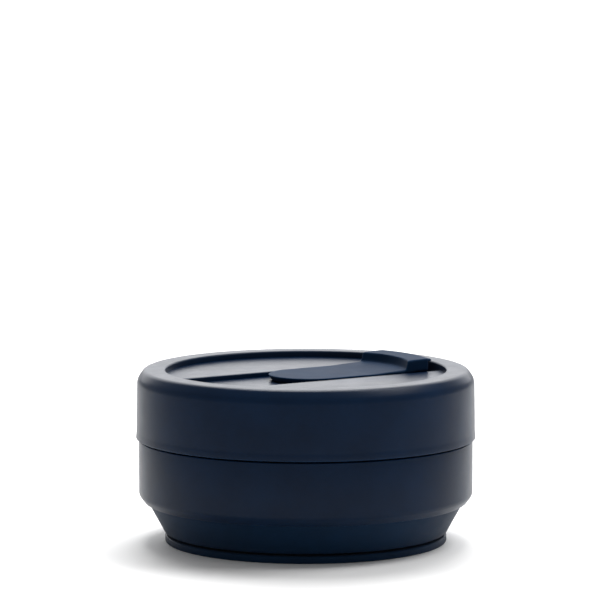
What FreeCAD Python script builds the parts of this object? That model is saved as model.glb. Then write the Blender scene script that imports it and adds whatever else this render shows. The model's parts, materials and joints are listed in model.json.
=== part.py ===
"""Collapsible travel cup, folded flat: silicone cup in three tiers, heat sleeve, press-on lid and flip stopper.

Millimetres, +Z up. The origin is on the table, under the middle of the foot. The cup stands folded, which
is the state that it travels in. The stopper lies along +X, with its thumb bar at the +X side of the lid.
"""

import FreeCAD
import Part
import math
import os

Vector = FreeCAD.Vector
UP = Vector(0, 0, 1)
ORIGIN = Vector(0, 0, 0)

# ---- overall -------------------------------------------------------------------------------------
LID_RADIUS = 48.05  # outside of the lid's skirt
RIM_HEIGHT = 49.1  # top of the lid's ring above the table

# ---- lid: one polypropylene moulding -------------------------------------------------------------
SKIRT_DEPTH = 19.4  # ring top down to the skirt's lower edge
SKIRT_WALL = 1.8
SKIRT_DRAFT = 0.2  # the skirt is this much narrower at the shoulder
LIP_PROUD = 0.2  # low flare round the skirt's lower edge
LIP_HEIGHT = 2.0
SHOULDER_INSET = 1.95
SHOULDER_DROP = 2.8
RING_WIDTH = 6.1  # flat top of the ring, shoulder to inner edge
RING_THICK = 2.1
PLATE_DROP = 1.9  # ring top down to the recessed plate
CHANNEL_DROP = 1.4  # plate down to the stopper's channel
CHANNEL_HALF = 12.1  # half the channel's width
DECK_THICK = 1.6  # wall under the channel
SEAL_OUTER_GAP = 0.3  # sealing wall to the inside of the cup's mouth
SEAL_WALL = 1.4
SEAL_DEPTH = 2.8  # how far the sealing wall reaches below the deck
SOFT_EDGE = 0.5  # rounding on moulded edges
OVERCUT = 1.0  # how far a cut starts outside the face that it opens

# ---- stopper: silicone ---------------------------------------------------------------------------
STRAP_SIDE_GAP = 0.5  # strap's edge to the channel's side
STRAP_PROUD = 0.4  # strap's top above the plate
STRAP_LIFT = 0.2  # strap's underside above the channel floor
UNDERCUT = 0.9  # the strap is this much narrower underneath, on each side
FOLD_AT = 6.0  # fold line, out from the lid's middle
TIP_BEHIND_FOLD = 16.5  # rounded end, behind the fold line
RAMP_LENGTH = 13.0  # strap's climb to the thumb bar
RAMP_RISE = 0.6
HINGE_GAP = 0.15  # on each side of the fold line
POST_RADIUS = 2.6
POST_CLEARANCE = 0.1
BARB_RADIUS = 4.0
BARB_HEIGHT = 2.0
HEAD_IN = 3.7  # thumb bar's back face, in from the ring
HEAD_LENGTH = 6.6  # its back face to its front face
HEAD_SIDE_GAP = 0.3  # its side to the channel's side
HEAD_RISE = 3.4  # its back edge above the strap
FRONT_RISE = 2.7  # its front edge above the strap
HEAD_LIFT = 0.2  # its sides above the plate
TAIL_OVERLAP = 1.4  # tail's reach over the ring's inner edge
TAIL_THICK = 0.8
TAIL_LIFT = 0.3  # tail's underside above the ring
TAIL_INSET = 3.5  # tail is this much narrower than the thumb bar, on each side
SIP_IN = 2.7  # sip hole's middle, out from the middle of the thumb bar's front
SIP_LENGTH = 12.0  # across the stopper
SIP_WIDTH = 4.6
PLUG_CLEARANCE = 0.15
PLUG_TAPER = 0.75
PLUG_DEPTH = 3.0  # plug's end, below the strap

# ---- sleeve: polypropylene -----------------------------------------------------------------------
SLEEVE_STEP = 0.65  # sleeve's outside is this much inside the lid's
SLEEVE_WALL = 1.6
LID_GAP = 0.5  # dark line between lid and sleeve
SLEEVE_BOTTOM = 11.4
CHAMFER_INSET = 1.7
CHAMFER_RISE = 2.2
SLEEVE_LIP = 0.6  # width of the sleeve's lower edge

# ---- cup: one silicone moulding, folded ----------------------------------------------------------
SLEEVE_CLEARANCE = 0.3
LID_CLEARANCE = 0.3
CUP_WALL = 1.7
RIM_THICK = 2.3
RIM_GRIP = 6.0  # height of the thick rim that the lid presses on
FOOT_INSET = 8.05  # foot's edge, in from the lid's
FOOT_THICK = 2.1
FOOT_GAP = 0.5  # foot up to the outer tier's lower edge
CONE_STEP = 0.0  # outer tier's lower edge, in from the foot's
TIER_FOOT_WALL = 1.5  # outer tier's wall at its lower edge
FOLD_WALL = 1.6
FOLD_LEAN = 0.7  # folding tier is this much narrower at its top
FOLD_FOOT_GAP = 1.0  # folding tier above the foot
TIER_GAP = 0.5  # between folded tiers
BASE_WALL = 1.8
BASE_LEAN = 2.9  # innermost tier is this much narrower at the floor
FOLD_HEADROOM = 4.8  # top of the folded walls to the lid's deck
FLOOR_THICK = 2.4
PRINT_RECESS = 0.6  # shallow recess under the foot
FOOT_LAND = 6.0  # width of the land that the cup stands on

# ---- places worked out from the sizes ------------------------------------------------------------
lid_bottom = RIM_HEIGHT - SKIRT_DEPTH
shoulder_radius = LID_RADIUS - SKIRT_DRAFT
ring_outer = shoulder_radius - SHOULDER_INSET
ring_inner = ring_outer - RING_WIDTH
ring_under = RIM_HEIGHT - RING_THICK
skirt_inner = LID_RADIUS - SKIRT_WALL
plate_top = RIM_HEIGHT - PLATE_DROP
channel_floor = plate_top - CHANNEL_DROP
deck_under = channel_floor - DECK_THICK

sleeve_outer = LID_RADIUS - SLEEVE_STEP
sleeve_inner = sleeve_outer - SLEEVE_WALL
sleeve_top = lid_bottom - LID_GAP
chamfer_top = SLEEVE_BOTTOM + CHAMFER_RISE
sleeve_mouth = sleeve_outer - CHAMFER_INSET
lip_inner = sleeve_mouth - SLEEVE_LIP

tier_outer = sleeve_inner - SLEEVE_CLEARANCE
rim_inner = tier_outer - RIM_THICK
rim_top = ring_under - LID_CLEARANCE
seal_outer = rim_inner - SEAL_OUTER_GAP
seal_inner = seal_outer - SEAL_WALL

foot_radius = LID_RADIUS - FOOT_INSET
cone_bottom = FOOT_THICK + FOOT_GAP
cone_foot = foot_radius - CONE_STEP
fold_bottom = FOOT_THICK + FOLD_FOOT_GAP
fold_outer = cone_foot - TIER_FOOT_WALL - TIER_GAP
fold_top = deck_under - FOLD_HEADROOM
base_top_radius = fold_outer - FOLD_LEAN - FOLD_WALL - TIER_GAP
base_foot_radius = base_top_radius - BASE_LEAN

strap_half = CHANNEL_HALF - STRAP_SIDE_GAP
strap_top = plate_top + STRAP_PROUD
strap_under = channel_floor + STRAP_LIFT
ramp_top = strap_top + RAMP_RISE
head_back = ring_inner - HEAD_IN
head_front = head_back - HEAD_LENGTH
head_half = CHANNEL_HALF - HEAD_SIDE_GAP
head_start = math.sqrt(head_front**2 - head_half**2)
head_end = ring_inner + TAIL_OVERLAP
tail_half = head_half - TAIL_INSET
sip_at = head_front + SIP_IN
tail_under = RIM_HEIGHT + TAIL_LIFT


def rounded_wire(points, plane):
    """Closed wire through (a, b) or (a, b, radius) points, with a tangent arc at each corner that has one."""
    corners = [(plane(p[0], p[1]), p[2] if len(p) > 2 else 0.0) for p in points]
    ends = []
    for i, (corner, radius) in enumerate(corners):
        if radius == 0.0:
            ends.append((corner, None, corner))
            continue
        before = (corners[i - 1][0] - corner).normalize()
        after = (corners[(i + 1) % len(corners)][0] - corner).normalize()
        half = before.getAngle(after) / 2
        reach = radius / math.tan(half)
        inward = (before + after).normalize()
        middle = corner + inward * (radius / math.sin(half) - radius)
        ends.append((corner + before * reach, middle, corner + after * reach))
    edges = []
    for i, (start, middle, end) in enumerate(ends):
        if middle is not None:
            edges.append(Part.Arc(start, middle, end).toShape())
        following = ends[(i + 1) % len(ends)][0]
        if end.distanceToPoint(following) > 1e-7:
            edges.append(Part.LineSegment(end, following).toShape())
    return Part.Wire(edges)


def turned(points):
    """Solid of revolution about Z from a half section of (radius, height) points."""
    face = Part.Face(rounded_wire(points, lambda r, z: Vector(r, 0, z)))
    return face.revolve(ORIGIN, UP, 360)


def side_cut(points, half):
    """Solid from an (along, height) outline, reaching the same distance to each side of the XZ plane."""
    face = Part.Face(rounded_wire(points, lambda x, z: Vector(x, -half, z)))
    return face.extrude(Vector(0, 2 * half, 0))


def drum(radius, low, high, along=0.0):
    return Part.makeCylinder(radius, high - low, Vector(along, 0, low))


def box(x0, x1, half, low, high):
    return Part.makeBox(x1 - x0, 2 * half, high - low, Vector(x0, -half, low))


def slot_wire(length, width, height):
    """Stadium-shaped wire at one height, long across the stopper, round the middle of the sip hole."""
    half = (length - width) / 2
    radius = width / 2
    near = sip_at - radius
    far = sip_at + radius
    near_side = Part.LineSegment(Vector(near, half, height), Vector(near, -half, height))
    low_end = Part.Arc(
        Vector(near, -half, height), Vector(sip_at, -half - radius, height), Vector(far, -half, height)
    )
    far_side = Part.LineSegment(Vector(far, -half, height), Vector(far, half, height))
    high_end = Part.Arc(
        Vector(far, half, height), Vector(sip_at, half + radius, height), Vector(near, half, height)
    )
    return Part.Wire([side.toShape() for side in (near_side, low_end, far_side, high_end)])


def make_lid():
    """Skirt, shoulder, ring and recessed deck in one turned section, then the channel and its two holes."""
    lip_top = lid_bottom + LIP_HEIGHT
    section = [
        (0, deck_under),
        (seal_inner, deck_under, SOFT_EDGE),
        (seal_inner, deck_under - SEAL_DEPTH, SOFT_EDGE),
        (seal_outer, deck_under - SEAL_DEPTH, SOFT_EDGE),
        (seal_outer, ring_under, SOFT_EDGE),
        (skirt_inner, ring_under, 2 * SOFT_EDGE),
        (skirt_inner, lid_bottom),
        (LID_RADIUS + LIP_PROUD, lid_bottom, LIP_PROUD),
        (LID_RADIUS, lip_top),
        (shoulder_radius, RIM_HEIGHT - SHOULDER_DROP, 2 * SOFT_EDGE),
        (ring_outer, RIM_HEIGHT, SOFT_EDGE),
        (ring_inner, RIM_HEIGHT, SOFT_EDGE),
        (ring_inner, plate_top, SOFT_EDGE),
        (0, plate_top),
    ]
    inside = drum(ring_inner, channel_floor, RIM_HEIGHT)
    channel = box(-ring_inner, ring_inner, CHANNEL_HALF, channel_floor, RIM_HEIGHT).common(inside)
    post_hole = drum(POST_RADIUS + POST_CLEARANCE, deck_under - OVERCUT, plate_top)
    sip_face = Part.Face(slot_wire(SIP_LENGTH, SIP_WIDTH, deck_under - OVERCUT))
    sip_hole = sip_face.extrude(Vector(0, 0, plate_top - deck_under + OVERCUT))
    return turned(section).cut(channel).cut(post_hole).cut(sip_hole)


def make_sleeve():
    """Plain ring with a chamfered lower edge that grips round the cup's outer tier."""
    section = [
        (sleeve_inner, sleeve_top, SOFT_EDGE / 2),
        (sleeve_outer, sleeve_top, SOFT_EDGE / 2),
        (sleeve_outer, chamfer_top, 3 * SOFT_EDGE),
        (sleeve_mouth, SLEEVE_BOTTOM, SOFT_EDGE / 2),
        (lip_inner, SLEEVE_BOTTOM),
        (sleeve_inner, chamfer_top + SOFT_EDGE, SOFT_EDGE),
    ]
    return turned(section)


def make_upper_wall():
    """Cup's widest tier: cone that shows under the sleeve, plain wall, and the thick rim under the lid."""
    cone_top = lip_inner - SLEEVE_CLEARANCE
    section = [
        (cone_foot - TIER_FOOT_WALL, cone_bottom + SOFT_EDGE),
        (cone_foot, cone_bottom, SOFT_EDGE),
        (cone_top, SLEEVE_BOTTOM, 2 * SOFT_EDGE),
        (tier_outer, chamfer_top + 2 * SOFT_EDGE, 2 * SOFT_EDGE),
        (tier_outer, rim_top, SOFT_EDGE),
        (rim_inner, rim_top, SOFT_EDGE),
        (rim_inner, rim_top - RIM_GRIP),
        (tier_outer - CUP_WALL, rim_top - RIM_GRIP - CUP_WALL),
        (tier_outer - CUP_WALL, chamfer_top + CUP_WALL, SOFT_EDGE),
        (cone_top - CUP_WALL, SLEEVE_BOTTOM + CUP_WALL / 2),
    ]
    return turned(section)


def make_fold_wall():
    """Middle tier, turned inside out between the other two while the cup is folded."""
    top_outer = fold_outer - FOLD_LEAN
    section = [
        (fold_outer - FOLD_WALL, fold_bottom, SOFT_EDGE),
        (fold_outer, fold_bottom, SOFT_EDGE),
        (top_outer, fold_top, SOFT_EDGE),
        (top_outer - FOLD_WALL, fold_top, SOFT_EDGE),
    ]
    return turned(section)


def make_base_section():
    """Foot, floor and innermost wall, which stay on the table while the rest of the cup is pulled up."""
    floor_top = FOOT_THICK + FLOOR_THICK
    land = foot_radius - FOOT_LAND
    section = [
        (0, PRINT_RECESS),
        (land, PRINT_RECESS),
        (land, 0),
        (foot_radius, 0, SOFT_EDGE),
        (foot_radius, FOOT_THICK, SOFT_EDGE),
        (base_foot_radius, FOOT_THICK, SOFT_EDGE),
        (base_top_radius, fold_top, SOFT_EDGE),
        (base_top_radius - BASE_WALL, fold_top, SOFT_EDGE),
        (base_foot_radius - BASE_WALL, floor_top, 4 * SOFT_EDGE),
        (0, floor_top),
    ]
    return turned(section)


def undercut_tongue(end, low):
    """Tongue whose edge slopes in underneath, lofted between its lower and its upper outline."""
    tip = FOLD_AT - TIP_BEHIND_FOLD
    wires = []
    for inset, height in ((UNDERCUT, low), (0.0, strap_top)):
        half = strap_half - inset
        middle = tip + strap_half
        corners = (Vector(middle, half, height), Vector(middle, -half, height))
        ends = (Vector(end, half, height), Vector(end, -half, height))
        arc = Part.Arc(corners[0], Vector(middle - half, 0, height), corners[1])
        sides = [Part.LineSegment(corners[1], ends[1]), Part.LineSegment(ends[1], ends[0])]
        sides.append(Part.LineSegment(ends[0], corners[0]))
        wires.append(Part.Wire([arc.toShape()] + [side.toShape() for side in sides]))
    return Part.makeLoft(wires, True, True)


def make_anchor():
    """Fixed end of the stopper, behind the fold line, with the barbed post that holds it in the deck."""
    pad = undercut_tongue(FOLD_AT - HINGE_GAP, channel_floor)
    barb = turned(
        [
            (0, deck_under),
            (BARB_RADIUS, deck_under),
            (POST_RADIUS, deck_under - BARB_HEIGHT),
            (0, deck_under - BARB_HEIGHT),
        ]
    )
    post = drum(POST_RADIUS, deck_under - SOFT_EDGE, channel_floor + SOFT_EDGE)
    return pad.fuse([post, barb]).removeSplitter()


def make_strap():
    """Flexible strap from the fold line to the thumb bar, thicker where it climbs to the thumb bar."""
    start = FOLD_AT + HINGE_GAP
    strap = undercut_tongue(head_start, strap_under)
    strap = strap.common(box(start, head_start, strap_half, strap_under, strap_top))
    ramp = [(head_start - RAMP_LENGTH, strap_top), (head_start, ramp_top), (head_start, strap_top)]
    return strap.fuse(side_cut(ramp, strap_half)).removeSplitter()


def between_faces(half, low, high):
    """Block between the thumb bar's front and back faces, which are both arcs about the lid's middle."""
    block = box(head_start / 2, head_back, half, low, high).common(drum(head_back, low, high))
    return block.cut(drum(head_front, low, high))


def make_head():
    """Thumb bar with curved faces, a tail over the ring, and under it the strap's end and the tapered plug."""
    crest = strap_top + HEAD_RISE
    side = [
        (head_start / 2, plate_top + HEAD_LIFT),
        (head_start / 2, strap_top + FRONT_RISE),
        (head_start, strap_top + FRONT_RISE),
        (head_back, crest),
        (head_back, plate_top + HEAD_LIFT),
    ]
    bar = between_faces(head_half, plate_top, crest).common(side_cut(side, head_half))
    tail = box(sip_at, head_end, tail_half, tail_under, tail_under + TAIL_THICK)
    tail = tail.common(drum(head_end, tail_under, tail_under + TAIL_THICK))
    root = box(head_start, head_back, strap_half - UNDERCUT, strap_under, ramp_top)
    root = root.common(drum(head_back, strap_under, ramp_top))
    top = slot_wire(SIP_LENGTH - 2 * PLUG_CLEARANCE, SIP_WIDTH - 2 * PLUG_CLEARANCE, strap_under)
    narrow = 2 * (PLUG_CLEARANCE + PLUG_TAPER)
    bottom = slot_wire(SIP_LENGTH - narrow, SIP_WIDTH - narrow, strap_under - PLUG_DEPTH)
    plug = Part.makeLoft([bottom, top], True, True)
    return bar.fuse([tail, root, plug]).removeSplitter()


PIECES = {
    "cup_base_section": make_base_section,
    "cup_fold_wall": make_fold_wall,
    "cup_upper_wall": make_upper_wall,
    "heat_sleeve": make_sleeve,
    "lid_shell": make_lid,
    "stopper_anchor": make_anchor,
    "stopper_strap": make_strap,
    "stopper_head": make_head,
}

os.makedirs("parts", exist_ok=True)
for name, make in PIECES.items():
    make().exportStep(f"parts/{name}.step")
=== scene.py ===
# %% [markdown]
# # A folding travel cup, modelled and lit
# The cup is four things: a silicone cup that folds into itself, a stiff heat sleeve round it, a stiff
# lid, and a soft stopper lying in a channel across the lid. The engineering model already fixes where
# everything is and how it moves. This lesson gives each piece its finished shape and surface. We start
# by loading that model, and we read the outer boxes of its parts to place the pieces.

# %% Load the frame
import bpy
import json
import math
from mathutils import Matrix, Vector


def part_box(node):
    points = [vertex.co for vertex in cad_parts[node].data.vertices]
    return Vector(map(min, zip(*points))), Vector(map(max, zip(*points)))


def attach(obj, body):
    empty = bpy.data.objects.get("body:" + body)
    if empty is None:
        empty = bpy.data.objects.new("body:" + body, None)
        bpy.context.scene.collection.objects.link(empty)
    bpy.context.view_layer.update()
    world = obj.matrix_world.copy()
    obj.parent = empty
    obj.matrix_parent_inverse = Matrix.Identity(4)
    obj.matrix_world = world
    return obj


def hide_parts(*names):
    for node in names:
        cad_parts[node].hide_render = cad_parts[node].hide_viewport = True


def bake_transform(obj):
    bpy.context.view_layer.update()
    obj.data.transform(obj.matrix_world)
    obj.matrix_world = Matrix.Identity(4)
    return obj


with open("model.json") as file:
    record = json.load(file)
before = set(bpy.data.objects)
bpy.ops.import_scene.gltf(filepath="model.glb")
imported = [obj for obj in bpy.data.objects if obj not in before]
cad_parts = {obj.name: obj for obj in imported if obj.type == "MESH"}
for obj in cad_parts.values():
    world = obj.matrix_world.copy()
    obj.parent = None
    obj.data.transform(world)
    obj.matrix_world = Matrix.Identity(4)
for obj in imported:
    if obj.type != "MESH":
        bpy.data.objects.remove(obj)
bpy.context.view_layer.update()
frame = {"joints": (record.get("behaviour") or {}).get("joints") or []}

MM = 0.001

# %% [markdown]
# ## Where things are
# Most places are read from the frame, so the looks follow the engineering model if it changes. What
# can't be read from a box, such as walls, steps and roundings, is given here in millimetres.

# %% Places read from the frame
lid_low, lid_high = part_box("lid_shell")
sleeve_low, sleeve_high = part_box("heat_sleeve")
wall_low, wall_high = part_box("cup_upper_wall")
fold_low, fold_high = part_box("cup_fold_wall")
base_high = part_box("cup_base_section")[1]
anchor_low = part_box("stopper_anchor")[0]
strap_low, strap_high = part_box("stopper_strap")
head_low, head_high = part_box("stopper_head")
hinge = next(joint for joint in frame["joints"] if joint["name"] == "stopper_hinge")

LIP_PROUD = 0.2 * MM
PLATE_DROP = 1.9 * MM
STRAP_CLEARANCE = 0.2 * MM
DECK_THICKNESS = 1.6 * MM
SKIRT_LEAN = 0.2 * MM
SHOULDER_WIDTH = 1.95 * MM
RING_WIDTH = 6.1 * MM
SKIRT_WALL = 1.8 * MM
RIM_CLEARANCE = 0.3 * MM
lid_radius = lid_high.x - LIP_PROUD
ring_top = lid_high.z
plate_top = ring_top - PLATE_DROP
channel_floor = strap_low.z - STRAP_CLEARANCE
deck_under = channel_floor - DECK_THICKNESS
shoulder_radius = lid_radius - SKIRT_LEAN
ring_outer = shoulder_radius - SHOULDER_WIDTH
ring_inner = ring_outer - RING_WIDTH
skirt_inner = lid_radius - SKIRT_WALL
ring_under = wall_high.z + RIM_CLEARANCE
print("lid radius, mm:", round(lid_radius / MM, 2))
print("ring from", round(ring_inner / MM, 2), "to", round(ring_outer / MM, 2))

# %% [markdown]
# ## Small helpers
# Blender's operators act on whatever is selected. So before each step we clear the selection, and then
# choose edges or faces by where they are. That is the habit that makes modelling in code reliable.

# %% Selecting by place
CLOSE = 0.004 * MM


def only(piece):
    """Makes one object the only selected and active one."""
    if bpy.context.object and bpy.context.object.mode != "OBJECT":
        bpy.ops.object.mode_set(mode="OBJECT")
    bpy.ops.object.select_all(action="DESELECT")
    piece.select_set(True)
    bpy.context.view_layer.objects.active = piece


def choose(piece, kind, test):
    """Leaves the piece in edit mode with only those vertices, edges or faces selected that pass the test."""
    only(piece)
    bpy.ops.object.mode_set(mode="EDIT")
    bpy.ops.mesh.select_mode(type=kind)
    bpy.ops.mesh.select_all(action="DESELECT")
    bpy.ops.object.mode_set(mode="OBJECT")
    mesh = piece.data
    count = 0
    for item in {"VERT": mesh.vertices, "EDGE": mesh.edges, "FACE": mesh.polygons}[kind]:
        places = [item.co] if kind == "VERT" else [mesh.vertices[i].co for i in item.vertices]
        if all(test(place) for place in places):
            item.select = True
            count += 1
    bpy.ops.object.mode_set(mode="EDIT")
    return count


def apply_all(piece):
    """Applies every modifier in order."""
    only(piece)
    for modifier in list(piece.modifiers):
        bpy.ops.object.modifier_apply(modifier=modifier.name)


def settle(piece):
    """Moves a new primitive's place, turn and size into its mesh."""
    only(piece)
    bpy.ops.object.transform_apply(location=True, rotation=True, scale=True)
    return piece


def triangles(piece):
    """Number of triangles that the piece's mesh comes to."""
    piece.data.calc_loop_triangles()
    return len(piece.data.loop_triangles)


print("places count as the same within, mm:", CLOSE / MM)

# %% [markdown]
# ## Turning a shell
# The cup, sleeve and lid are all round, as if turned on a lathe. One way is to draw half a section and
# spin it. Here we pull rings instead: start from one circle, extrude it to the next height, scale it to
# the next radius, and so on round the section. Each corner stays a separate ring, so it can be found
# afterwards by its radius and height and rounded with a bevel, just as a mould maker breaks an edge.

# %% Pull rings, then round the corners
AROUND = 224
SMOOTH_UNDER = math.radians(28)


def pull_rings(name, section, hub_start=False, hub_end=False):
    """Closed turned mesh through (radius, height) corners. A hub closes that end at the axis."""
    bpy.ops.object.select_all(action="DESELECT")
    radius, height = section[0]
    bpy.ops.mesh.primitive_circle_add(vertices=AROUND, radius=radius, location=(0, 0, height))
    piece = settle(bpy.context.object)
    piece.name = name
    bpy.ops.object.mode_set(mode="EDIT")
    bpy.ops.mesh.select_mode(type="EDGE")
    bpy.ops.mesh.select_all(action="SELECT")
    closed = not (hub_start or hub_end)
    for new_radius, new_height in section[1:] + (section[:1] if closed else []):
        bpy.ops.mesh.extrude_edges_move(
            TRANSFORM_OT_translate={"value": (0, 0, new_height - height)}
        )
        scale = new_radius / radius
        bpy.ops.transform.resize(value=(scale, scale, 1), center_override=(0, 0, new_height))
        radius, height = new_radius, new_height
    if hub_end:
        bpy.ops.mesh.extrude_edges_move(TRANSFORM_OT_translate={"value": (0, 0, 0)})
        bpy.ops.mesh.merge(type="CENTER")
    if hub_start:
        on_first = lambda p: abs(p.z - section[0][1]) < CLOSE and abs(p.xy.length - section[0][0]) < CLOSE
        choose(piece, "EDGE", on_first)
        bpy.ops.mesh.extrude_edges_move(TRANSFORM_OT_translate={"value": (0, 0, 0)})
        bpy.ops.mesh.merge(type="CENTER")
    bpy.ops.mesh.select_all(action="SELECT")
    bpy.ops.mesh.remove_doubles(threshold=CLOSE)
    bpy.ops.mesh.normals_make_consistent(inside=False)
    bpy.ops.object.mode_set(mode="OBJECT")
    return piece


def round_ring(piece, radius, height, width, segments=4):
    """Bevels the ring of edges at one radius and height."""
    on_ring = lambda p: abs(p.z - height) < CLOSE and abs(p.xy.length - radius) < CLOSE
    found = choose(piece, "EDGE", on_ring)
    if found:
        bpy.ops.mesh.bevel(offset=width, offset_type="OFFSET", segments=segments, affect="EDGES")
    bpy.ops.object.mode_set(mode="OBJECT")
    return found


def turn(name, corners, **hubs):
    """Turned piece from (radius, height, rounding in mm) corners."""
    piece = pull_rings(name, [(r, z) for r, z, _ in corners], **hubs)
    missed = [(r, z) for r, z, width in corners if width and not round_ring(piece, r, z, width * MM)]
    only(piece)
    bpy.ops.object.shade_smooth_by_angle(angle=SMOOTH_UNDER)
    print(name, "triangles", triangles(piece), "corners not found", len(missed))
    return piece


print("points round each turned piece:", AROUND)

# %% [markdown]
# ## Cutting
# A mould leaves holes and a small dimple where the plastic came in, the gate mark. Holes could be drawn
# into the section only if they were round and central. A boolean with a throwaway cutter does the rest,
# and it stays clean as long as the cutter crosses flat faces.

# %% Cutting and pegs
def cut_with(piece, tool, operation="DIFFERENCE"):
    """Boolean with a tool that is then thrown away."""
    modifier = piece.modifiers.new("cut", "BOOLEAN")
    modifier.operation = operation
    modifier.object = tool
    modifier.solver = "EXACT"
    apply_all(piece)
    bpy.data.objects.remove(tool)


def peg(radius, low_z, high_z, x=0.0, vertices=96):
    """Plain upright cylinder, used as a cutter or as a post."""
    bpy.ops.object.select_all(action="DESELECT")
    bpy.ops.mesh.primitive_cylinder_add(
        vertices=vertices, radius=radius, depth=high_z - low_z, location=(x, 0, (low_z + high_z) / 2)
    )
    return settle(bpy.context.object)


def gate_mark(face_z, radius=1.6 * MM, depth=0.35 * MM):
    """Cutter for the shallow dimple that a moulding gate leaves, sunk up into a downward face."""
    return peg(radius, face_z - MM, face_z + depth, vertices=48)


print("cutters ready: a peg, and a gate mark that is a short one")

# %% [markdown]
# ## The heat sleeve
# A stiff polypropylene ring that the hand holds. Its lower edge is chamfered so that it slides on over
# the soft cup, and the chamfer is what catches the light from the table. A torus or a tube with a bevel
# would be quicker, but would lose the lip that grips under the cup's step.

# %% Turn the sleeve
SLEEVE_WALL = 1.6 * MM
MOUTH_INSET = 1.7 * MM
CHAMFER_RISE = 2.2 * MM
MOUTH_LIP = 0.6 * MM
sleeve_outer = sleeve_high.x
sleeve_inner = sleeve_outer - SLEEVE_WALL
sleeve_mouth = sleeve_outer - MOUTH_INSET
chamfer_top = sleeve_low.z + CHAMFER_RISE
sleeve = turn(
    "heat_sleeve_shell",
    [
        (sleeve_inner, sleeve_high.z, 0.25),
        (sleeve_outer, sleeve_high.z, 0.3),
        (sleeve_outer, chamfer_top, 0.7),
        (sleeve_mouth, sleeve_low.z, 0.25),
        (sleeve_mouth - MOUTH_LIP, sleeve_low.z, 0),
        (sleeve_inner, chamfer_top + 0.5 * MM, 0.3),
    ],
)
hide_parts("heat_sleeve")
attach(sleeve, "sleeve")

# %% [markdown]
# ## The silicone cup, in three tiers
# The real cup is one moulding. Its middle tier turns inside out when the cup is pulled up, which is why
# the cup is stiff both folded and tall. We make the foot tier and the rim tier as plain turned shells.
# The middle tier gets the two thin folds that join it to its neighbours, and fine rings along its
# length, because it has to roll over on itself without showing flat steps.

# %% Foot tier
BASE_WALL = 1.8 * MM
FLOOR_THICKNESS = 2.4 * MM
TIER_STEP = 2.8 * MM
TIER_TAPER = 2.9 * MM
LAND_WIDTH = 6 * MM
RECESS = 0.6 * MM
HUB_RADIUS = 4 * MM
foot_radius = base_high.x
foot_top = 2.1 * MM
floor_top = foot_top + FLOOR_THICKNESS
base_top_radius = fold_high.x - TIER_STEP
base_foot_radius = base_top_radius - TIER_TAPER
land = foot_radius - LAND_WIDTH
base = turn(
    "cup_foot_tier",
    [
        (HUB_RADIUS, RECESS, 0),
        (land, RECESS, 0.3),
        (land, 0, 0.2),
        (foot_radius, 0, 0.45),
        (foot_radius, foot_top, 0.5),
        (base_foot_radius, foot_top, 0.5),
        (base_top_radius, base_high.z, 0.4),
        (base_top_radius - BASE_WALL, base_high.z, 0.4),
        (base_foot_radius - BASE_WALL, floor_top, 1.6),
        (HUB_RADIUS, floor_top, 0),
    ],
    hub_start=True,
    hub_end=True,
)
cut_with(base, gate_mark(RECESS))
only(base)
bpy.ops.object.shade_smooth_by_angle(angle=SMOOTH_UNDER)
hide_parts("cup_base_section")
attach(base, "base")

# %% [markdown]
# ### The rim tier
# The widest tier. It holds the sleeve on its outside and the lid's seal inside its thicker rim, and its
# lower part closes in as a cone, the part of the silicone that shows below the sleeve. It is turned in
# one go, so that rim, wall and cone run into each other as they do in the mould.

# %% Rim tier
RIM_THICKNESS = 2.3 * MM
WALL = 1.7 * MM
MOUTH_CLEARANCE = 0.9 * MM
FOLD_EDGE = 1.5 * MM
wall_outer = wall_high.x
rim_top = wall_high.z
rim_inner = wall_outer - RIM_THICKNESS
cone_foot = foot_radius
cone_bottom = wall_low.z
cone_top = sleeve_mouth - MOUTH_CLEARANCE
rim_tier = turn(
    "cup_rim_tier",
    [
        (cone_foot - FOLD_EDGE, cone_bottom + 0.5 * MM, 0),
        (cone_foot, cone_bottom, 0.45),
        (cone_top, sleeve_low.z, 0.6),
        (wall_outer, chamfer_top + 1 * MM, 0.6),
        (wall_outer, rim_top, 0.5),
        (rim_inner, rim_top, 0.5),
        (rim_inner, rim_top - 6 * MM, 0.3),
        (wall_outer - WALL, rim_top - 7.7 * MM, 0.3),
        (wall_outer - WALL, chamfer_top + WALL, 0.4),
        (cone_top - WALL, sleeve_low.z + WALL / 2, 0.3),
    ],
)
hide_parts("cup_upper_wall")
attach(rim_tier, "upper")

# %% [markdown]
# ### The middle tier
# This is the tier that turns inside out. A rigid tube would do for the folded cup and look torn off its
# neighbours in any other pose. So it gets a thin web at each end and many rings up its length.

# %% Middle tier, which turns inside out
FOLD_RINGS = 44
FOLD_WALL = 1.6 * MM
FOLD_TAPER = 0.7 * MM
WEB = 0.7 * MM
WEB_OVERLAP = 0.4 * MM
fold_outer = fold_high.x
fold_top_radius = fold_outer - FOLD_TAPER
low, high = fold_low.z, fold_high.z


def along_fold(inset):
    """Rings up one face of the middle tier."""
    rings = []
    for i in range(FOLD_RINGS + 1):
        share = i / FOLD_RINGS
        radius = fold_outer + (fold_top_radius - fold_outer) * share - inset
        rings.append((radius, low + (high - low) * share))
    return rings


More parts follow.
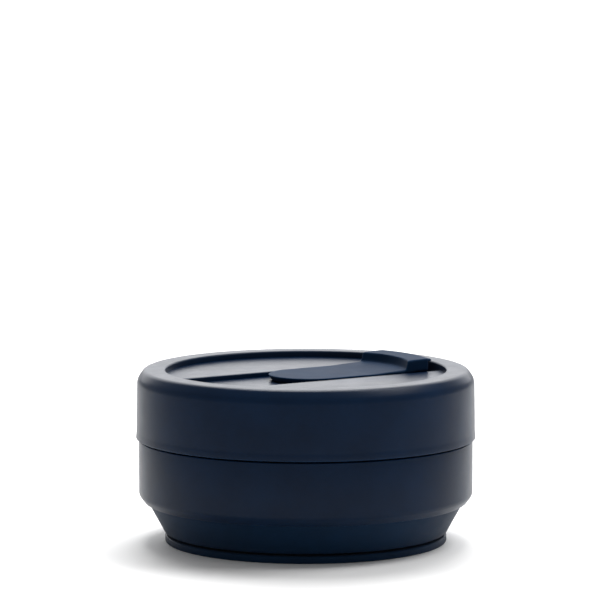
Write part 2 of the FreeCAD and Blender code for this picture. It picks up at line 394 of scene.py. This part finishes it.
outer_face = along_fold(0)
inner_face = along_fold(FOLD_WALL)
fold_section = (
    [(cone_foot - FOLD_EDGE, cone_bottom + 1.3 * MM), (cone_foot - FOLD_EDGE, cone_bottom + 0.5 * MM)]
    + [(fold_outer - FOLD_WALL, low - 0.1 * MM)]
    + inner_face
    + [(fold_top_radius - FOLD_WALL, high + 0.2 * MM), (base_top_radius - WEB_OVERLAP, high - 0.05 * MM)]
    + [(base_top_radius - WEB_OVERLAP, high + WEB), (fold_top_radius, high + WEB)]
    + outer_face[::-1]
    + [(fold_outer, low + WEB)]
)
fold = pull_rings("cup_middle_tier", fold_section)
only(fold)
bpy.ops.object.shade_smooth_by_angle(angle=math.radians(40))
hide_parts("cup_fold_wall")
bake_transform(fold)
print("cup_middle_tier triangles", triangles(fold), "rings", FOLD_RINGS)

# %% [markdown]
# ## The lid
# One polypropylene moulding. The skirt, shoulder and ring are turned like the rest. Across the recessed
# plate runs the channel that the stopper lies in. We cut it the way a drawing would: slice the flat
# plate along the channel's two sides with bisect, then push the middle strip down. The holes for the
# stopper's post and for sipping go through flat faces only, so a boolean stays clean there.

# %% Turn the lid
SEAL_WALL = 1.4 * MM
SEAL_DEPTH = 2.8 * MM
SHOULDER_DROP = 2.8 * MM
LIP_HEIGHT = 2 * MM
seal_outer = rim_inner - RIM_CLEARANCE
seal_inner = seal_outer - SEAL_WALL
lid = turn(
    "lid_moulding",
    [
        (3 * MM, deck_under, 0),
        (seal_inner, deck_under, 0.4),
        (seal_inner, deck_under - SEAL_DEPTH, 0.4),
        (seal_outer, deck_under - SEAL_DEPTH, 0.4),
        (seal_outer, ring_under, 0.4),
        (skirt_inner, ring_under, 0.7),
        (skirt_inner, lid_low.z, 0.2),
        (lid_radius + LIP_PROUD, lid_low.z, 0.2),
        (lid_radius, lid_low.z + LIP_HEIGHT, 0.3),
        (shoulder_radius, ring_top - SHOULDER_DROP, 1.1),
        (ring_outer, ring_top, 0.8),
        (ring_inner, ring_top, 0.6),
        (ring_inner, plate_top, 0),
    ],
    hub_start=True,
    hub_end=True,
)

# %% [markdown]
# ### The channel
# The strap lies in a shallow channel, so that nothing catches in a bag. The plate is first made one flat
# face. Two bisects mark the channel's sides, the strip between them goes down, and a narrow bevel rounds
# the two top edges. Bisect joins points closer than its threshold, so that is set very small here.

# %% Sink the channel
CHANNEL_EDGE = 0.3 * MM
BISECT_JOIN = 1e-6
channel_half = 12.1 * MM
on_plate = lambda p: abs(p.z - plate_top) < CLOSE
choose(lid, "FACE", on_plate)
bpy.ops.mesh.dissolve_faces()
for side in (-1, 1):
    choose(lid, "FACE", on_plate)
    bpy.ops.mesh.bisect(plane_co=(0, side * channel_half, 0), plane_no=(0, 1, 0), threshold=BISECT_JOIN)
choose(lid, "FACE", lambda p: on_plate(p) and abs(p.y) < channel_half + CLOSE)
bpy.ops.mesh.extrude_region_move(TRANSFORM_OT_translate={"value": (0, 0, channel_floor - plate_top)})
edges = choose(lid, "EDGE", lambda p: on_plate(p) and abs(abs(p.y) - channel_half) < CLOSE)
bpy.ops.mesh.bevel(offset=CHANNEL_EDGE, segments=3, affect="EDGES")
bpy.ops.object.mode_set(mode="OBJECT")
print("channel sides found:", edges)

# %% [markdown]
# ### The two holes
# One round hole holds the stopper's post, and one long hole is for drinking. The long one is a cylinder
# with its two halves moved apart, which keeps both ends truly round. The same block, made a little
# smaller and tapered, is the plug later, so hole and plug match.

# %% Post hole and sip hole
SIP_LENGTH = 12 * MM
SIP_WIDTH = 4.6 * MM
POST_HOLE = 2.7 * MM
sip_x = 32.2 * MM


def rounded_slot(name, x, length, width, low_z, high_z, taper=0.0):
    """Stadium block across the stopper: a cylinder whose two halves are moved apart."""
    bpy.ops.object.select_all(action="DESELECT")
    bpy.ops.mesh.primitive_cone_add(
        vertices=48,
        radius1=width / 2 - taper,
        radius2=width / 2,
        depth=high_z - low_z,
        location=(x, 0, (low_z + high_z) / 2),
    )
    block = settle(bpy.context.object)
    block.name = name
    for side in (-1, 1):
        choose(block, "VERT", lambda p: side * p.y > CLOSE)
        bpy.ops.transform.translate(value=(0, side * (length - width) / 2, 0))
    bpy.ops.object.mode_set(mode="OBJECT")
    return block


cut_with(lid, peg(POST_HOLE, deck_under - MM, plate_top))
cut_with(lid, rounded_slot("sip_tool", sip_x, SIP_LENGTH, SIP_WIDTH, deck_under - MM, plate_top))
only(lid)
bpy.ops.object.shade_smooth_by_angle(angle=SMOOTH_UNDER)
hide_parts("lid_shell")
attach(lid, "lid")
print("lid triangles", triangles(lid))

# %% [markdown]
# ## The stopper
# A single soft silicone moulding: a post and barb that anchor it, a strap that bends, and a thumb bar
# with a plug under it. Soft rubber has no sharp edges anywhere. So we block it out from simple solids
# shaped in edit mode, melt them into one skin with a voxel remesh, and smooth that skin a little.
# Bevelling every edge by hand would also work, but the skin bends better, having even small faces.

# %% Strap and anchor
UNDERCUT = 0.9 * MM
RAMP_LENGTH = 13 * MM
OVERLAP = 2 * MM
POST_RADIUS = 2.6 * MM
BARB_RADIUS = 4 * MM
strap_half = strap_high.y
strap_top = hinge["pos_m"][2]
tip_x = anchor_low.x + strap_half
head_start = head_low.x
ramp_start = head_start - RAMP_LENGTH


def block(x0, x1, half, low_z, high_z):
    """Box along the stopper, centred across it."""
    bpy.ops.object.select_all(action="DESELECT")
    bpy.ops.mesh.primitive_cube_add(
        size=1, location=((x0 + x1) / 2, 0, (low_z + high_z) / 2), scale=(x1 - x0, 2 * half, high_z - low_z)
    )
    return settle(bpy.context.object)


strap = block(tip_x, head_start + OVERLAP, strap_half, strap_low.z, strap_top)
choose(strap, "VERT", lambda p: p.z < strap_low.z + CLOSE)
narrow = (strap_half - UNDERCUT) / strap_half
bpy.ops.transform.resize(value=(1, narrow, 1), center_override=(0, 0, strap_low.z))
bpy.ops.object.mode_set(mode="OBJECT")

bpy.ops.object.select_all(action="DESELECT")
bpy.ops.mesh.primitive_cone_add(
    vertices=128,
    radius1=strap_half - UNDERCUT,
    radius2=strap_half,
    depth=strap_top - strap_low.z,
    location=(tip_x, 0, (strap_top + strap_low.z) / 2),
)
tip = settle(bpy.context.object)

ramp_rise = strap_high.z - strap_top
ramp = block(ramp_start, head_start + OVERLAP, strap_half, strap_top - 0.6 * MM, strap_high.z)
choose(ramp, "VERT", lambda p: p.z > strap_top and p.x < ramp_start + CLOSE)
bpy.ops.transform.translate(value=(0, 0, -ramp_rise - 0.05 * MM))
bpy.ops.object.mode_set(mode="OBJECT")

post = peg(POST_RADIUS, deck_under - 0.5 * MM, strap_low.z + 0.4 * MM)
bpy.ops.object.select_all(action="DESELECT")
bpy.ops.mesh.primitive_cone_add(
    vertices=64,
    radius1=POST_RADIUS,
    radius2=BARB_RADIUS,
    depth=deck_under - anchor_low.z,
    location=(0, 0, (deck_under + anchor_low.z) / 2),
)
barb = settle(bpy.context.object)
print("strap half width, mm:", round(strap_half / MM, 2))

# %% [markdown]
# ### The thumb bar
# The thumb pushes against the bar's hollow front and lifts the thin tail behind it. Front and back are
# both arcs about the lid's middle, so the bar is a block that one cylinder trims and one cone scoops.
# The tail stops short of the engineering model's by TAIL_SHORTER, so less of it shows past the bar.

# %% Thumb bar, tail and plug
FRONT_SLOPE = 0.5 * MM
FRONT_DROP = 0.7 * MM
BACK_FROM_RING = 3.7 * MM
TAIL_SHORTER = 2.6 * MM
TAIL_GAP = 0.3 * MM
TAIL_THICKNESS = 0.8 * MM
TAIL_INSET = 3.5 * MM
PLUG_CLEARANCE = 0.3 * MM
PLUG_TAPER = 0.75 * MM
head_half = head_high.y
front_radius = math.hypot(head_start, head_half)
back_radius = ring_inner - BACK_FROM_RING
crest = head_high.z
front_top = crest - FRONT_DROP
tail_under = ring_top + TAIL_GAP

bar = block(head_start / 2, back_radius + MM, head_half, plate_top + 0.2 * MM, crest)
choose(bar, "VERT", lambda p: p.z > front_top and p.x < head_start)
bpy.ops.transform.translate(value=(0, 0, front_top - crest))
bpy.ops.object.mode_set(mode="OBJECT")
cut_with(bar, peg(back_radius, plate_top - MM, crest + MM, vertices=256), "INTERSECT")
cone_low, cone_high = strap_high.z, front_top
bpy.ops.object.select_all(action="DESELECT")
bpy.ops.mesh.primitive_cone_add(
    vertices=256,
    radius1=front_radius - FRONT_SLOPE,
    radius2=front_radius,
    depth=cone_high - cone_low,
    location=(0, 0, (cone_high + cone_low) / 2),
)
scoop = settle(bpy.context.object)
choose(scoop, "FACE", lambda p: abs(p.z - cone_low) < CLOSE)
bpy.ops.mesh.extrude_region_move(TRANSFORM_OT_translate={"value": (0, 0, plate_top - MM - cone_low)})
choose(scoop, "FACE", lambda p: abs(p.z - cone_high) < CLOSE)
bpy.ops.mesh.extrude_region_move(TRANSFORM_OT_translate={"value": (0, 0, crest + MM - cone_high)})
bpy.ops.mesh.select_all(action="SELECT")
bpy.ops.mesh.normals_make_consistent(inside=False)
bpy.ops.object.mode_set(mode="OBJECT")
cut_with(bar, scoop)

tail = block(sip_x, head_high.x, head_half - TAIL_INSET, tail_under, tail_under + TAIL_THICKNESS)
tail_trim = peg(head_high.x - TAIL_SHORTER, tail_under - MM, tail_under + 2 * MM, vertices=256)
cut_with(tail, tail_trim, "INTERSECT")
root = block(head_start, back_radius, strap_half - UNDERCUT, strap_low.z, strap_high.z)
root_trim = peg(back_radius, strap_low.z - MM, strap_top + 2 * MM, vertices=256)
cut_with(root, root_trim, "INTERSECT")
plug = rounded_slot(
    "plug",
    sip_x,
    SIP_LENGTH - PLUG_CLEARANCE,
    SIP_WIDTH - PLUG_CLEARANCE,
    head_low.z,
    strap_low.z + 0.3 * MM,
    PLUG_TAPER,
)
print("thumb bar faces at radius, mm:", round(front_radius / MM, 2), round(back_radius / MM, 2))

# %% [markdown]
# ### One soft skin
# All the blocks overlap a little, so a voxel remesh melts them into one closed surface, and a few rounds
# of smoothing take the edges off.

# %% Melt the blocks into one skin
VOXEL = 0.27 * MM
SMOOTH_ROUNDS = 7
bpy.ops.object.select_all(action="DESELECT")
for part in (strap, tip, ramp, post, barb, bar, tail, root, plug):
    part.select_set(True)
bpy.context.view_layer.objects.active = strap
bpy.ops.object.join()
stopper = bpy.context.object
stopper.name = "stopper_moulding"
skin = stopper.modifiers.new("skin", "REMESH")
skin.mode = "VOXEL"
skin.voxel_size = VOXEL
soften = stopper.modifiers.new("soften", "SMOOTH")
soften.factor = 0.5
soften.iterations = SMOOTH_ROUNDS
apply_all(stopper)
bpy.ops.object.shade_smooth()
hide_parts("stopper_anchor", "stopper_strap", "stopper_head")
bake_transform(stopper)
print("stopper triangles", triangles(stopper))

# %% [markdown]
# ## Surfaces
# Colours are written as they look on a screen and turned into linear light by one function. One more
# function adds a shader node with its settings and links. With those two, each finish is a short list.

# %% Colour and node helpers
def to_linear(hex_colour):
    """Linear RGBA from an sRGB hex colour."""
    channels = [int(hex_colour[i : i + 2], 16) / 255 for i in (0, 2, 4)]
    linear = [c / 12.92 if c <= 0.04045 else ((c + 0.055) / 1.055) ** 2.4 for c in channels]
    return (*linear, 1.0)


def add(material, kind, settings=None, **links):
    """Adds a node, sets its inputs and properties, and links other nodes' outputs into it."""
    tree = material.node_tree
    node = tree.nodes.new(kind)
    for key, value in (settings or {}).items():
        if key in node.inputs:
            node.inputs[key].default_value = value
        else:
            setattr(node, key, value)
    for key, source in links.items():
        tree.links.new(source, node.inputs[key.replace("_", " ")])
    return node


def per_metre(size_mm):
    """Noise scale whose features are about this many millimetres across."""
    return 1 / (size_mm * MM)


print("noise scale for a 1 mm feature:", per_metre(1))

# %% [markdown]
# ## What the two materials are
# The lid and sleeve are moulded polypropylene from a lightly spark-eroded tool: satin, with a fine even
# grain that spreads a highlight without dulling it, and edges polished a little by handling. The cup and
# stopper are silicone rubber: bluer, softer in its shine, with a faint dusty bloom because it holds lint.
# Real mould grain is near 0.1 mm. It is drawn at 0.3 mm and coarser, so that it survives at this size.
# The specular levels are far below a plastic's usual 0.5. That is a choice of look, not a property of
# the material: under large white panels it keeps the walls deep.

# %% Build both finishes
EDGE_WIDTH = 0.5 * MM
CLOUD_MM = 14
WEAR_MM = 5
FLAT_DOT, ROUND_DOT = 0.995, 0.9


def soft_finish(
    name, colour, shade, edge_colour, ior, mirror, rough, rough_spread, grain_mm, grain_depth, sheen
):
    """Moulded polymer: mottled colour, uneven polish, fine grain and slightly lighter worn edges."""
    material = bpy.data.materials.new(name)
    material.use_nodes = True
    tree = material.node_tree
    shader = tree.nodes["Principled BSDF"]
    place = add(material, "ShaderNodeTexCoord").outputs["Object"]
    cloud = add(material, "ShaderNodeTexNoise", {"Scale": per_metre(CLOUD_MM), "Detail": 4.0}, Vector=place)
    tint = add(material, "ShaderNodeValToRGB", None, Fac=cloud.outputs["Fac"])
    tint.color_ramp.elements[0].position = 0.35
    tint.color_ramp.elements[0].color = to_linear(shade)
    tint.color_ramp.elements[1].position = 0.7
    tint.color_ramp.elements[1].color = to_linear(colour)
    rolled = add(material, "ShaderNodeBevel", {"Radius": EDGE_WIDTH, "samples": 4})
    facing = add(material, "ShaderNodeNewGeometry")
    bend = add(material, "ShaderNodeVectorMath", {"operation": "DOT_PRODUCT"})
    tree.links.new(rolled.outputs["Normal"], bend.inputs[0])
    tree.links.new(facing.outputs["Normal"], bend.inputs[1])
    edge = add(
        material,
        "ShaderNodeMapRange",
        {"From Min": FLAT_DOT, "From Max": ROUND_DOT},
        Value=bend.outputs["Value"],
    )
    mix = add(material, "ShaderNodeMix", {"data_type": "RGBA"})
    tree.links.new(edge.outputs["Result"], mix.inputs["Factor"])
    tree.links.new(tint.outputs["Color"], mix.inputs[6])
    mix.inputs[7].default_value = to_linear(edge_colour)
    tree.links.new(mix.outputs[2], shader.inputs["Base Color"])
    wear = add(material, "ShaderNodeTexNoise", {"Scale": per_metre(WEAR_MM), "Detail": 5.0}, Vector=place)
    polish = add(
        material,
        "ShaderNodeMapRange",
        {"To Min": rough - rough_spread, "To Max": rough + rough_spread},
        Value=wear.outputs["Fac"],
    )
    tree.links.new(polish.outputs["Result"], shader.inputs["Roughness"])
    grain = add(material, "ShaderNodeTexNoise", {"Scale": per_metre(grain_mm), "Detail": 3.0}, Vector=place)
    bump = add(
        material,
        "ShaderNodeBump",
        {"Strength": 0.5, "Distance": grain_depth * MM},
        Height=grain.outputs["Fac"],
    )
    tree.links.new(bump.outputs["Normal"], shader.inputs["Normal"])
    shader.inputs["IOR"].default_value = ior
    shader.inputs["Specular IOR Level"].default_value = mirror
    shader.inputs["Sheen Weight"].default_value = sheen
    shader.inputs["Sheen Roughness"].default_value = 0.5
    return material


polypropylene = soft_finish(
    "moulded polypropylene", "061D36", "05182E", "12304F", 1.49, 0.12, 0.34, 0.05, 0.3, 0.035, 0
)
cup_silicone = soft_finish(
    "matte silicone rubber", "07223B", "061D33", "102F4C", 1.41, 0.1, 0.5, 0.06, 0.45, 0.04, 0.03
)
stopper_silicone = soft_finish(
    "stopper silicone rubber", "0A2742", "082039", "1B3E60", 1.41, 0.07, 0.66, 0.05, 0.45, 0.04, 0.03
)
for piece, material in (
    (sleeve, polypropylene),
    (lid, polypropylene),
    (base, cup_silicone),
    (rim_tier, cup_silicone),
    (fold, cup_silicone),
    (stopper, stopper_silicone),
):
    piece.data.materials.clear()
    piece.data.materials.append(material)
print("finishes:", [m.name for m in (polypropylene, cup_silicone, stopper_silicone)])

# %% [markdown]
# ## Floor, light and camera
# A dark satin object on white is a lighting exercise. The floor is plain and nearly white, with no
# shine of its own, so that it only shows the object's shadow.

# %% Floor
bpy.ops.object.select_all(action="DESELECT")
bpy.ops.mesh.primitive_plane_add(size=12)
floor = bpy.context.object
floor.name = "floor"
floor_paint = bpy.data.materials.new("white studio floor")
floor_paint.use_nodes = True
floor_shader = floor_paint.node_tree.nodes["Principled BSDF"]
floor_shader.inputs["Base Color"].default_value = (0.9, 0.9, 0.9, 1)
floor_shader.inputs["Roughness"].default_value = 0.7
floor.data.materials.append(floor_paint)
print("floor width, m:", floor.dimensions.x)

# %% [markdown]
# ### Light
# Large white panels above and behind draw the pale tops and the light rims. The camera's own side stays
# dim, which keeps the front wall deep. Two small panels overhead give the edges a softer second light.

# %% World and panels
world = bpy.data.worlds.new("studio")
bpy.context.scene.world = world
world.use_nodes = True
sky = world.node_tree.nodes["Background"]
sky.inputs["Color"].default_value = (1, 1, 1, 1)
sky.inputs["Strength"].default_value = 0.36
bpy.context.scene.view_settings.view_transform = "Standard"


def panel(name, place, size, power):
    """Soft light panel that faces the object."""
    light = bpy.data.lights.new(name, "AREA")
    light.shape = "RECTANGLE"
    light.size, light.size_y = size
    light.energy = power
    holder = bpy.data.objects.new(name, light)
    bpy.context.scene.collection.objects.link(holder)
    holder.location = place
    aim = Vector((0, 0, 0.03)) - holder.location
    holder.rotation_euler = aim.to_track_quat("-Z", "Y").to_euler()
    print("panel", name, "power, W:", power)


CAMERA_AZIMUTH = math.radians(-33)
right = Vector((math.cos(CAMERA_AZIMUTH), math.sin(CAMERA_AZIMUTH), 0))
away = Vector((-math.sin(CAMERA_AZIMUTH), math.cos(CAMERA_AZIMUTH), 0))
up = Vector((0, 0, 1))
panel("far", away * 4.2 + up * 1.9, (6.0, 3.2), 140)
panel("middle", away * 2.4 + up * 2.4, (3.0, 1.4), 24)
panel("overhead", away * 0.32 + up * 0.75, (0.4, 0.35), 5.2)
panel("key", right * 0.55 + away * 0.1 + up * 0.9, (0.45, 0.45), 5.5)

# %% [markdown]
# ### Camera
# A long lens from over a metre away keeps the ellipses of the lid calm, as in a catalogue picture. The
# camera looks a few degrees down, so that the lid's top shows as a narrow band.

# %% Camera
LENS_MM = 252.3
PITCH = math.radians(6.58)
camera = bpy.data.objects.new("camera", bpy.data.cameras.new("camera"))
bpy.context.scene.collection.objects.link(camera)
bpy.context.scene.camera = camera
camera.data.sensor_width = 36
camera.data.lens = LENS_MM
camera.location = -away * 1.182 + up * 0.205
look = away * math.cos(PITCH) - up * math.sin(PITCH) - right * 0.00138
camera.rotation_euler = look.to_track_quat("-Z", "Y").to_euler()
print("camera lens, mm:", LENS_MM, "distance, m:", round(camera.location.length, 3))
